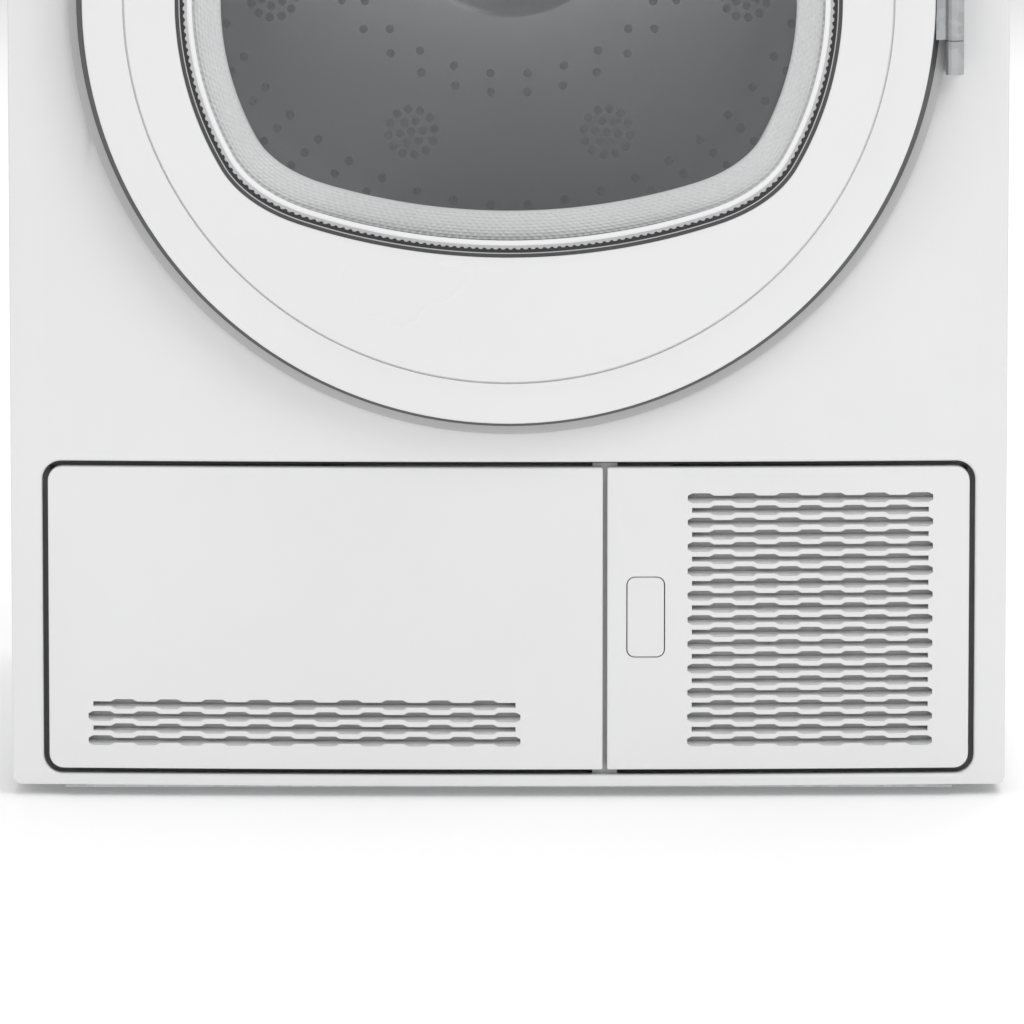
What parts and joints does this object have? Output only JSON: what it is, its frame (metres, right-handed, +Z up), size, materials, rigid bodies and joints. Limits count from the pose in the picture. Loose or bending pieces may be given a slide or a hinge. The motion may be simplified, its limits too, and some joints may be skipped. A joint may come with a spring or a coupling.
{
  "type": "clothes dryer",
  "caption": "Front-loading condenser clothes dryer with a round door, turning drum, belt drive, pull-out water tank and a condenser flap.",
  "frame": {"origin": "middle of the cabinet's footprint, on the floor", "axes": "+Z up, -Y out of the front, +X to the right seen from the front"},
  "size_m": [0.595, 0.64, 0.849],
  "materials": {
    "enamel": "smooth white baked enamel",
    "worktop": "white laminate with a fine texture",
    "white_plastic": "moulded white plastic, satin",
    "zinc_steel": "zinc coated sheet steel",
    "drum_steel": "rolled stainless steel",
    "grey_plastic": "moulded grey plastic",
    "black_plastic": "black plastic",
    "grip_blue": "blue plastic for user handles",
    "rubber": "black rubber",
    "felt": "grey wool felt",
    "exchanger": "thin aluminium plates",
    "motor_iron": "laminated iron and cast caps",
    "heater_steel": "heat darkened steel tube",
    "circuit_board": "green circuit board",
    "door_glass": "clear pressed glass",
    "smoked_window": "tinted clear outer window"
  },
  "bodies": {
    "root": {"base_tray": "zinc_steel", "front_panel": "enamel", "left_side_panel": "enamel", "right_side_panel": "enamel", "back_panel": "zinc_steel", "top_panel": "worktop", "control_fascia": "white_plastic", "display_window": "black_plastic", "control_board": "circuit_board", "plinth_cover": "white_plastic", "front_bulkhead": "zinc_steel", "mouth_ring": "grey_plastic", "drum_front_felt": "felt", "rear_bearing": "zinc_steel", "rear_duct_cover": "zinc_steel", "heater_element": "heater_steel", "motor_body": "motor_iron", "fan_housing": "grey_plastic", "drive_belt": "rubber", "condenser_duct": "grey_plastic", "condenser_core": "exchanger", "condenser_frame": "grey_plastic", "tank_shelf": "grey_plastic", "door_hinge_bracket": "zinc_steel", "door_catch": "grey_plastic", "cable_gland": "black_plastic"},
    "door": {"door_ring": "white_plastic", "door_cover": "white_plastic", "door_window": "smoked_window", "door_bowl": "door_glass", "door_inner_frame": "white_plastic", "door_seal": "rubber", "door_hinge_strap": "zinc_steel", "door_hook": "grey_plastic"},
    "drum": {"drum_shell": "drum_steel", "drum_back": "drum_steel", "drum_paddle_1": "white_plastic", "drum_paddle_2": "white_plastic", "drum_paddle_3": "white_plastic"},
    "roller_left": {"support_roller_left": "rubber"},
    "roller_right": {"support_roller_right": "rubber"},
    "motor_rotor": {"rotor_shaft": "zinc_steel", "process_fan": "grey_plastic"},
    "tension_arm": {"idler_arm": "zinc_steel"},
    "tension_pulley": {"idler_pulley": "grey_plastic"},
    "water_tank": {"tank_body": "white_plastic", "tank_front": "white_plastic"},
    "flap": {"condenser_flap": "white_plastic"},
    "latch_button": {"flap_latch": "white_plastic"},
    "filter": {"lint_filter": "grey_plastic"},
    "lever_1": {"condenser_lever_1": "grip_blue"},
    "lever_2": {"condenser_lever_2": "grip_blue"},
    "knob": {"programme_knob": "white_plastic"},
    "start": {"start_button": "white_plastic"},
    "option_1": {"option_button_1": "white_plastic"},
    "option_2": {"option_button_2": "white_plastic"},
    "foot_1": {"levelling_foot_1": "black_plastic"},
    "foot_2": {"levelling_foot_2": "black_plastic"},
    "foot_3": {"levelling_foot_3": "black_plastic"},
    "foot_4": {"levelling_foot_4": "black_plastic"}
  },
  "joints": [
    {"name": "door_hinge", "type": "hinge", "parent": "root", "child": "door", "pos_m": [0.264, -0.2985, 0.482], "axis": [0, 0, 1], "range_deg": [0, 150]},
    {"name": "drum_spin", "type": "hinge", "parent": "root", "child": "drum", "pos_m": [0, 0, 0.492], "axis": [0, 1, 0], "continuous": true},
    {"name": "roller_left_spin", "type": "hinge", "parent": "root", "child": "roller_left", "pos_m": [-0.16364, -0.207, 0.23012], "axis": [0, 1, 0], "continuous": true},
    {"name": "roller_right_spin", "type": "hinge", "parent": "root", "child": "roller_right", "pos_m": [0.16364, -0.207, 0.23012], "axis": [0, 1, 0], "continuous": true},
    {"name": "motor_spin", "type": "hinge", "parent": "root", "child": "motor_rotor", "pos_m": [-0.135, 0, 0.105], "axis": [0, 1, 0], "continuous": true},
    {"name": "tension_arm_swing", "type": "hinge", "parent": "root", "child": "tension_arm", "pos_m": [-0.00181, -0.0385, 0.14361], "axis": [0, -1, 0], "range_deg": [0, 12], "stiffness_Nm_per_rad": 20, "springref_deg": -2.86},
    {"name": "tension_pulley_spin", "type": "hinge", "parent": "tension_arm", "child": "tension_pulley", "pos_m": [-0.04974, -0.022, 0.11662], "axis": [0, 1, 0], "continuous": true},
    {"name": "tank_slide", "type": "slide", "parent": "root", "child": "water_tank", "axis": [0, -1, 0], "range_m": [0, 0.4]},
    {"name": "flap_hinge", "type": "hinge", "parent": "root", "child": "flap", "pos_m": [0.2692, -0.2756, 0.1087], "axis": [0, 0, 1], "range_deg": [0, 90]},
    {"name": "flap_latch_press", "type": "slide", "parent": "flap", "child": "latch_button", "axis": [0, 1, 0], "range_m": [0, 0.003], "stiffness_N_per_m": 400},
    {"name": "lint_filter_lift", "type": "slide", "parent": "root", "child": "filter", "axis": [0, 0, 1], "range_m": [0, 0.09]},
    {"name": "lever_1_turn", "type": "hinge", "parent": "root", "child": "lever_1", "pos_m": [0.083, -0.2475, 0.15], "axis": [0, 1, 0], "range_deg": [0, 90]},
    {"name": "lever_2_turn", "type": "hinge", "parent": "root", "child": "lever_2", "pos_m": [0.255, -0.2475, 0.15], "axis": [0, -1, 0], "range_deg": [0, 90]},
    {"name": "programme_knob_turn", "type": "hinge", "parent": "root", "child": "knob", "pos_m": [0.012, -0.3, 0.786], "axis": [0, -1, 0], "continuous": true},
    {"name": "start_button_press", "type": "slide", "parent": "root", "child": "start", "axis": [0, 1, 0], "range_m": [0, 0.0015], "stiffness_N_per_m": 600},
    {"name": "option_button_1_press", "type": "slide", "parent": "root", "child": "option_1", "axis": [0, 1, 0], "range_m": [0, 0.0015], "stiffness_N_per_m": 600},
    {"name": "option_button_2_press", "type": "slide", "parent": "root", "child": "option_2", "axis": [0, 1, 0], "range_m": [0, 0.0015], "stiffness_N_per_m": 600},
    {"name": "foot_1_turn", "type": "hinge", "parent": "root", "child": "foot_1", "pos_m": [-0.245, -0.215, 0], "axis": [0, 0, 1], "continuous": true},
    {"name": "foot_2_turn", "type": "hinge", "parent": "root", "child": "foot_2", "pos_m": [-0.245, 0.235, 0], "axis": [0, 0, 1], "continuous": true},
    {"name": "foot_3_turn", "type": "hinge", "parent": "root", "child": "foot_3", "pos_m": [0.245, -0.215, 0], "axis": [0, 0, 1], "continuous": true},
    {"name": "foot_4_turn", "type": "hinge", "parent": "root", "child": "foot_4", "pos_m": [0.245, 0.235, 0], "axis": [0, 0, 1], "continuous": true}
  ],
  "couplings": [
    {"joint": "roller_left_spin", "follows": "drum_spin", "ratio": -10.218},
    {"joint": "roller_right_spin", "follows": "drum_spin", "ratio": -10.218},
    {"joint": "motor_spin", "follows": "drum_spin", "ratio": 23},
    {"joint": "tension_pulley_spin", "follows": "drum_spin", "ratio": -15.8}
  ]
}
